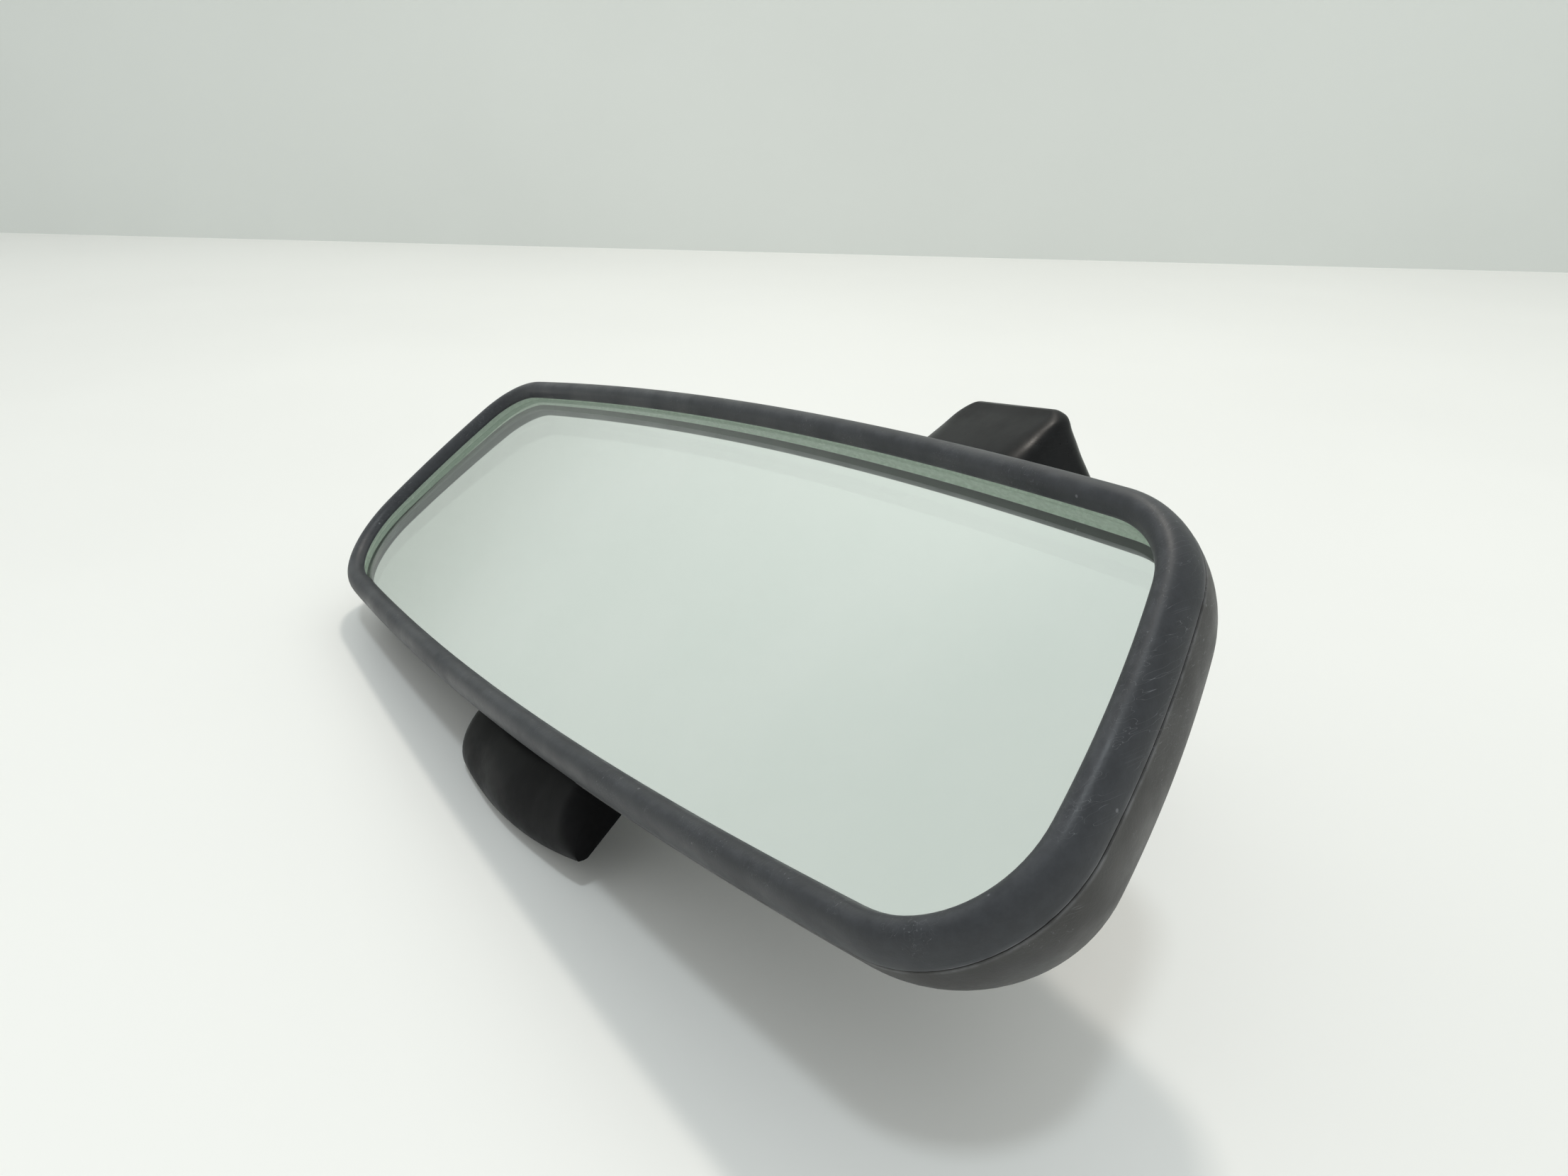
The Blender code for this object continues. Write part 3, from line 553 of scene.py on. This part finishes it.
def side_offset(behind_seam):
    """How far the shell's side wall stands outside the lip."""
    return RIM_WIDTH + SIDE_FLARE * behind_seam - SIDE_CURL * behind_seam**2


def glass_back(z):
    """Depth of the wedge glass's silvered back at height z."""
    share = (z + BOW_BOTTOM) / (OPENING_HEIGHT + BOW_TOP + BOW_BOTTOM)
    return GLASS_FRONT + GLASS_THIN + (GLASS_THICK - GLASS_THIN) * share


# ---------------------------------------------------------------- the head's pieces


def bezel_profile():
    """The rim's cross-section: (distance outside the lip, depth), from the glass round to it again."""
    before_glass = GLASS_FRONT - GAP
    lip = [(0.0, before_glass), (0.0, -0.12), (0.06, -0.28)]
    crest = spline(
        (
            (0.2, -0.62),
            (0.55, -1.35),
            (1.15, -1.98),
            (2.1, -2.33),
            (3.2, -2.08),
            (4.15, -1.25),
            (4.8, 0.05),
            (5.15, 1.6),
        ),
        4,
    )
    seam = [(5.23, 2.4), (5.25, 3.0), (5.22, 3.24), (5.12, 3.36), (4.98, SEAM_DEPTH)]
    skirt = [(3.3, SEAM_DEPTH), (3.3, 6.8), (2.1, 6.8), (2.1, before_glass)]
    return lip + crest + seam + skirt


def bezel_seam_highlight_and_crest(out, depth):
    """A painted highlight along the seam, and a little lighter on the crest."""
    at_seam = max(0.0, 1 - abs(depth - 3.25) / 0.3) if out > 4.5 else 0.0
    on_crest = 0.18 * max(0.0, 1 - abs(out - 2.1) / 1.2) if depth < -1.5 else 0.0
    return max(at_seam, on_crest)


def make_bezel(finish):
    profile = bezel_profile()
    rings = [at_depth(offset_outline(out), depth) for out, depth in profile]
    made = piece(
        "front_bezel_moulding", loft(rings, closed=True), finish, "head", HEAD,
        ["front_bezel"],
    )
    made.data.set_sharp_from_angle(angle=radians(BEZEL_SHARP_ANGLE))
    # The painted seam highlight and the paler crest, stored per point
    seam_highlight_and_crest = made.data.attributes.new("seam_highlight_and_crest", "FLOAT", "POINT")
    shares = [bezel_seam_highlight_and_crest(out, depth) for out, depth in profile for _ in OUTLINE]
    seam_highlight_and_crest.data.foreach_set("value", shares)


def shell_surface():
    """The rear shell's outer skin: a rounded front edge, the side wall, then the domed back."""
    front = SEAM_DEPTH + GAP
    rings = [
        at_depth(offset_outline(RIM_WIDTH - 0.27), front - 0.26),
        at_depth(offset_outline(RIM_WIDTH - 0.06), front - 0.2),
        at_depth(offset_outline(RIM_WIDTH + 0.04), front - 0.02),
    ]
    side = [0.6, 1.5, 3.0, 4.5, 6.0, 7.5, 9.0, 10.3, 11.5, 12.8, 14.0, 15.0]
    rings += [at_depth(offset_outline(side_offset(d)), front + d) for d in side]
    last = offset_outline(side_offset(16.0))
    centre = Vector((0.0, OPENING_HEIGHT / 2))
    dome = spline(
        ((1.0, 19.7), (0.955, 21.6), (0.88, 23.3), (0.74, 24.7), (0.5, 25.5), (0.24, SHELL_DEPTH)), 3
    )
    for shrink, depth in dome:
        rings.append(at_depth([centre + (p - centre) * shrink for p in last], depth))
    shape = loft(rings, capped=False)
    shape.verts.ensure_lookup_table()
    shape.faces.new(shape.verts[-len(OUTLINE):])
    return shape


def pin_ear(side, pin_at, ear):
    """The lug that holds one end of a pin; side is -1 or 1."""
    y, z = pin_at
    inner, outer, half_height, back = ear
    left, right = sorted((side * inner, side * outer))
    return soft_box((left, y - half_height, z - half_height), (right, back, z + half_height), 0.4, 2)


def cross_rod(pin_at, reach, radius):
    """A rod along a pin's axis, as far as reach on both sides."""
    return rod((-reach, *pin_at), (reach, *pin_at), radius)


def arm_hole():
    """An oval rod through the shell's back."""
    shape = rod((0, 0, 0), (0, 24, 0), 1.0, 96)
    oval = Matrix.Diagonal((ARM_HOLE_HALF_WIDTH, 1, ARM_HOLE_HALF_HEIGHT, 1))
    shape.transform(Matrix.Translation(ARM_HOLE_AT) @ oval)
    return shape


def make_shell(finish):
    made = piece(
        "rear_shell_moulding", shell_surface(), finish, "head", HEAD, ["rear_shell"]
    )
    wall = made.modifiers.new("wall", "SOLIDIFY")
    wall.thickness = SHELL_WALL * MM
    wall.offset = -1.0
    wall.use_even_offset = True
    steps = []
    for side in (-1, 1):
        for pin_at, ear in ((PIVOT_PIN_AT, PIVOT_EAR), (LEVER_PIN_AT, LEVER_EAR)):
            steps.append((cutter(pin_ear(side, pin_at, ear), HEAD), "UNION"))
    for pin_at, reach in ((PIVOT_PIN_AT, 40.0), (LEVER_PIN_AT, 33.0)):
        steps.append((cutter(cross_rod(pin_at, reach, PIN_RADIUS + GAP), HEAD), "DIFFERENCE"))
    steps.append((cutter(arm_hole(), HEAD), "DIFFERENCE"))
    steps.append((cutter(soft_box(*LEVER_SLOT, 1.2, 3), HEAD), "DIFFERENCE"))
    carve(made, steps)
    to_head = HEAD.inverted()

    # Painted highlight along the shell's front edge at the seam
    def highlight_and_crest_share(point):
        return max(0.0, 1 - abs((to_head @ point).y - SEAM_DEPTH - 0.4) / 0.35)

    store_seam_highlight_and_crest(made, highlight_and_crest_share)


def make_glass(glass, silver, ground):
    """The wedge glass with its ground rim, and the silver on its back."""
    rim, face_edge = offset_outline(GLASS_OVERLAP), offset_outline(GLASS_OVERLAP - GLASS_EDGE)
    rings = [
        at_depth(face_edge, GLASS_FRONT),
        at_depth(rim, GLASS_FRONT + GLASS_EDGE),
        at_depth(rim, lambda z: glass_back(z) - GLASS_EDGE),
        at_depth(face_edge, lambda z: glass_back(z) - 0.02),
    ]
    made = piece("wedge_glass", loft(rings), glass, "head", HEAD, ["mirror_glass"])
    made.data.shade_flat()
    made.data.materials.append(ground)
    for face in made.data.polygons:
        is_rim = len(face.vertices) == 4
        face.material_index = 1 if is_rim else 0
    rings = [
        at_depth(face_edge, lambda z: glass_back(z) - 0.01),
        at_depth(face_edge, lambda z: glass_back(z) + 0.04),
    ]
    coat = piece("silver_coat", loft(rings), silver, "head", HEAD)
    coat.data.shade_flat()


# ---------------------------------------------------------------- the dip lever


def lever_section(x, count=14):
    """One slice of the finger tab across its width: a closed (y, z) loop rounded to the front."""
    share = abs(x) / LEVER_HALF_WIDTH
    inset = max(0.0, abs(x) - (LEVER_HALF_WIDTH - LEVER_PLAN_RADIUS))
    front = LEVER_FRONT + LEVER_PLAN_RADIUS - sqrt(max(LEVER_PLAN_RADIUS**2 - inset**2, 0.0))
    bottom = LEVER_BOTTOM + LEVER_RISE * share**2
    top = LEVER_TOP
    loop = [(LEVER_BACK, top), (front + 0.5, top), (front + 0.12, top - 0.12), (front, top - 0.5)]
    reach = LEVER_BACK - 1.0 - front
    drop = min(10.0 + 10.0 * share**2, top - bottom - 0.9)
    for i in range(count):
        angle = radians(90 * i / (count - 1))
        loop.append((front + reach * (1 - cos(angle)), bottom + drop * (1 - sin(angle))))
    loop += [(LEVER_BACK - 0.35, bottom + 0.72), (LEVER_BACK, bottom + 1.4)]
    return [Vector((x, y, z)) for y, z in loop]


def make_lever(finish):
    count = 64
    spots = [-cos(pi * i / count) * (LEVER_HALF_WIDTH - 0.05) for i in range(count + 1)]
    made = piece(
        "dip_lever_moulding", loft([lever_section(x) for x in spots]), finish, "lever", HEAD,
        ["dip_lever"],
    )
    y, z = LEVER_PIN_AT
    web = soft_box((-20.0, y - 1.6, -10.0), (20.0, y + 1.6, z), 0.3, 2)
    barrel = cross_rod(LEVER_PIN_AT, 28.2, 2.9)
    cam = soft_box((-5.0, y - 2.2, z), (5.0, y + 0.6, z + 7.0), 0.3, 2)
    pin_hole = cross_rod(LEVER_PIN_AT, 30.0, PIN_RADIUS + GAP)
    steps = [(cutter(part, HEAD), "UNION") for part in (web, barrel, cam)]
    steps.append((cutter(pin_hole, HEAD), "DIFFERENCE"))
    carve(made, steps)
    store_seam_highlight_and_crest(made, lambda point: 0.0)


# ---------------------------------------------------------------- the foot's cover


def foot_ring(height, width, front, back, front_radius, back_radius, count=12):
    """A level slice of the cover: a rectangle with two sizes of corner round."""
    corners = (  # side, y of the round's centre, radius, first angle
        (1, back - back_radius, back_radius, 0),
        (-1, back - back_radius, back_radius, 90),
        (-1, front + front_radius, front_radius, 180),
        (1, front + front_radius, front_radius, 270),
    )
    ring = []
    for side, y, radius, first in corners:
        x = side * (width / 2 - radius)
        for i in range(count):
            angle = radians(first + 90 * i / (count - 1))
            ring.append(Vector((x + radius * cos(angle), y + radius * sin(angle), FOOT_SOLE + height)))
    return ring


def foot_solid(inset, beyond, floor, ceiling):
    """The cover's form between two heights, inset on all sides but longer at its flat back."""
    rings = []
    rows = spline(FOOT_SECTIONS[:FLAT_SECTIONS], 4) + spline(FOOT_SECTIONS[FLAT_SECTIONS:], 4)
    for height, width, front, back, front_radius, back_radius in rows:
        if inset and back - front < 2 * inset + 3.0:
            continue
        level = floor + (height / FOOT_HEIGHT) * (ceiling - floor)
        rear = back + beyond if abs(back - FOOT_BACK) < 0.001 else back - inset
        rounds = (max(front_radius - inset, 0.6), max(back_radius - inset, 0.6))
        rings.append(foot_ring(level, width - 2 * inset, front + inset, rear, *rounds))
    return loft(rings)


def make_cover(finish):
    made = piece(
        "foot_cover_moulding", foot_solid(0, 0, 0, FOOT_HEIGHT), finish, "foot", FOOT,
        ["foot_cover"],
    )
    openings = (
        foot_solid(COVER_WALL, 6.0, COVER_WALL, FOOT_HEIGHT - COVER_WALL),
        soft_box(*ARM_WINDOW, 4.0, 6),
        rod((11.0, *SET_SCREW_AT), (25.0, *SET_SCREW_AT), KEY_HOLE_RADIUS),
        box((-CHANNEL_HALF_WIDTH, CHANNEL_FLOOR, -30.0), (CHANNEL_HALF_WIDTH, 30.0, CHANNEL_TOP)),
    )
    carve(made, [(cutter(opening, FOOT), "DIFFERENCE") for opening in openings])
    store_seam_highlight_and_crest(made, lambda point: 0.0)


# ---------------------------------------------------------------- stage, lights and camera


def plain(name, colour, roughness, above=None):
    """A plain surface, which can get another colour towards its top; on the wall this is painted light
    that brightens it upwards.
    """
    made = Finish(name, colour, roughness)
    cloud = made.span(made.noise(3.0, 3.0), 0.35, 0.65)
    darker = tuple(c * 0.97 for c in colour)
    tone = made.blend(cloud, darker, colour)
    if above:
        split = made.node("ShaderNodeSeparateXYZ")
        made.feed(split.inputs[0], made.where)
        tone = made.blend(made.span(split.outputs["Z"], *WALL_LIGHTENS), tone, above)
    made.set(Base_Color=tone)
    return made.material


def stage_quad(name, corners, finish):
    mesh = bpy.data.meshes.new(name)
    mesh.from_pydata(corners, [], [(0, 1, 2, 3)])
    mesh.materials.append(finish)
    made = linked(name, mesh)


def area_light(name, at, size, power, colour):
    """A square lamp aimed at the object."""
    lamp = bpy.data.lights.new(name, "AREA")
    lamp.size = size
    lamp.energy = power
    lamp.color = colour
    made = linked(name, lamp)
    made.location = at
    made.rotation_mode = "QUATERNION"
    made.rotation_quaternion = (Vector(LIGHT_AIM) - Vector(at)).to_track_quat("-Z", "Y")


def make_stage():
    table = plain("pale_table", (0.86, 0.86, 0.84), 0.42)
    # The wall's lighter top colour is painted light
    wall = plain("pale_wall", (0.74, 0.765, 0.735), 0.7, (0.95, 0.965, 0.95))
    signs = ((-1, -1), (1, -1), (1, 1), (-1, 1))
    stage_quad("floor", [(x * FLOOR_REACH, y * FLOOR_REACH, 0) for x, y in signs], table)
    left, right = Vector(WALL_LEFT), Vector(WALL_RIGHT)
    beyond = (right - left).normalized() * WALL_BEYOND
    a, b = left - beyond, right + beyond
    up = Vector((0, 0, WALL_HEIGHT))
    stage_quad("backdrop", [a, b, b + up, a + up], wall)


def make_lights():
    world = bpy.data.worlds.new("studio")
    world.use_nodes = True
    background = world.node_tree.nodes["Background"]
    background.inputs["Color"].default_value = (0.965, 1.0, 0.985, 1.0)
    background.inputs["Strength"].default_value = 0.70
    bpy.context.scene.world = world
    area_light("overhead_left", (-0.35, 0.35, 1.25), 0.12, 4.5, (1.0, 0.94, 0.86))
    area_light("overhead_right", (0.35, -0.3, 1.35), 0.14, 3.7, (0.88, 0.96, 1.0))


def make_camera():
    lens = bpy.data.cameras.new("camera")
    lens.lens = CAMERA_LENS
    lens.sensor_width = 36.0
    lens.clip_start = 0.01
    made = linked("camera", lens)
    right, down = Vector(CAMERA_RIGHT).normalized(), Vector(CAMERA_DOWN)
    up = -(down - right * down.dot(right)).normalized()
    back = right.cross(up)
    turn = Matrix((right, up, back)).transposed().to_4x4()
    made.matrix_world = Matrix.Translation(CAMERA_AT) @ turn
    bpy.context.scene.camera = made


# ---------------------------------------------------------------- assembly

CHARCOAL = moulded_plastic(
    "charcoal_plastic_look", (0.016, 0.018, 0.022), (0.030, 0.033, 0.039), roughness=0.44, grain=0.35
)
SHELL_CHARCOAL = moulded_plastic(
    "shell_plastic_look", (0.020, 0.019, 0.019), (0.036, 0.034, 0.032), roughness=0.47, grain=0.4
)
LEVER_BLACK = moulded_plastic(
    "lever_plastic_look", (0.0035, 0.0035, 0.004), (0.006, 0.006, 0.0065),
    roughness=0.40, grain=0.12, dust=0.1, gloss=0.07, tint=DARK_SCUFFS,
)
FOOT_BLACK = moulded_plastic(
    "foot_plastic_look", (0.005, 0.0054, 0.006), (0.009, 0.0094, 0.0098),
    roughness=0.34, grain=0.1, dust=0.1, gloss=0.14, tint=DARK_SCUFFS,
)
CAD_LOOKS = {
    "backing_film": soft_sheet("backing_film_look", (0.15, 0.16, 0.17), (0.22, 0.23, 0.24), 0.6, 400.0),
    "foam": soft_sheet("foam_look", (0.03, 0.03, 0.033), (0.07, 0.07, 0.075), 0.92, 900.0),
    "nylon": soft_sheet("nylon_look", (0.62, 0.60, 0.55), (0.72, 0.70, 0.66), 0.45, 700.0),
    "diecast_zinc": metal("diecast_zinc_look", (0.30, 0.30, 0.31), (0.42, 0.42, 0.43), 0.48, 700.0),
    "steel": metal("steel_look", (0.45, 0.46, 0.48), (0.58, 0.59, 0.61), 0.32, 1500.0, True),
    "polished_steel": metal("polished_steel_look", (0.60, 0.60, 0.62), (0.72, 0.72, 0.74), 0.18, 900.0),
    "satin_black_metal": moulded_plastic(
        "satin_black_metal_look", (0.012, 0.012, 0.013), (0.022, 0.022, 0.024), 0.38, 0.2
    ),
}


def dress_cad_nodes():
    """Gives each carried-over CAD node the finish of its material slot."""
    slots = {entry["node"]: entry["material_slot"] for entry in frame["record"]["subparts"]}
    for name, node in frame["nodes"].items():
        look = CAD_LOOKS.get(slots[name])
        if look is None or node.hide_render:
            continue
        node.data.materials.clear()
        node.data.materials.append(look)


bpy.context.scene.view_settings.view_transform = "Standard"
make_camera()
make_stage()
make_lights()
make_bezel(CHARCOAL)
make_shell(SHELL_CHARCOAL)
make_glass(clear_glass(), silvering(), ground_edge())
make_lever(LEVER_BLACK)
make_cover(FOOT_BLACK)
dress_cad_nodes()
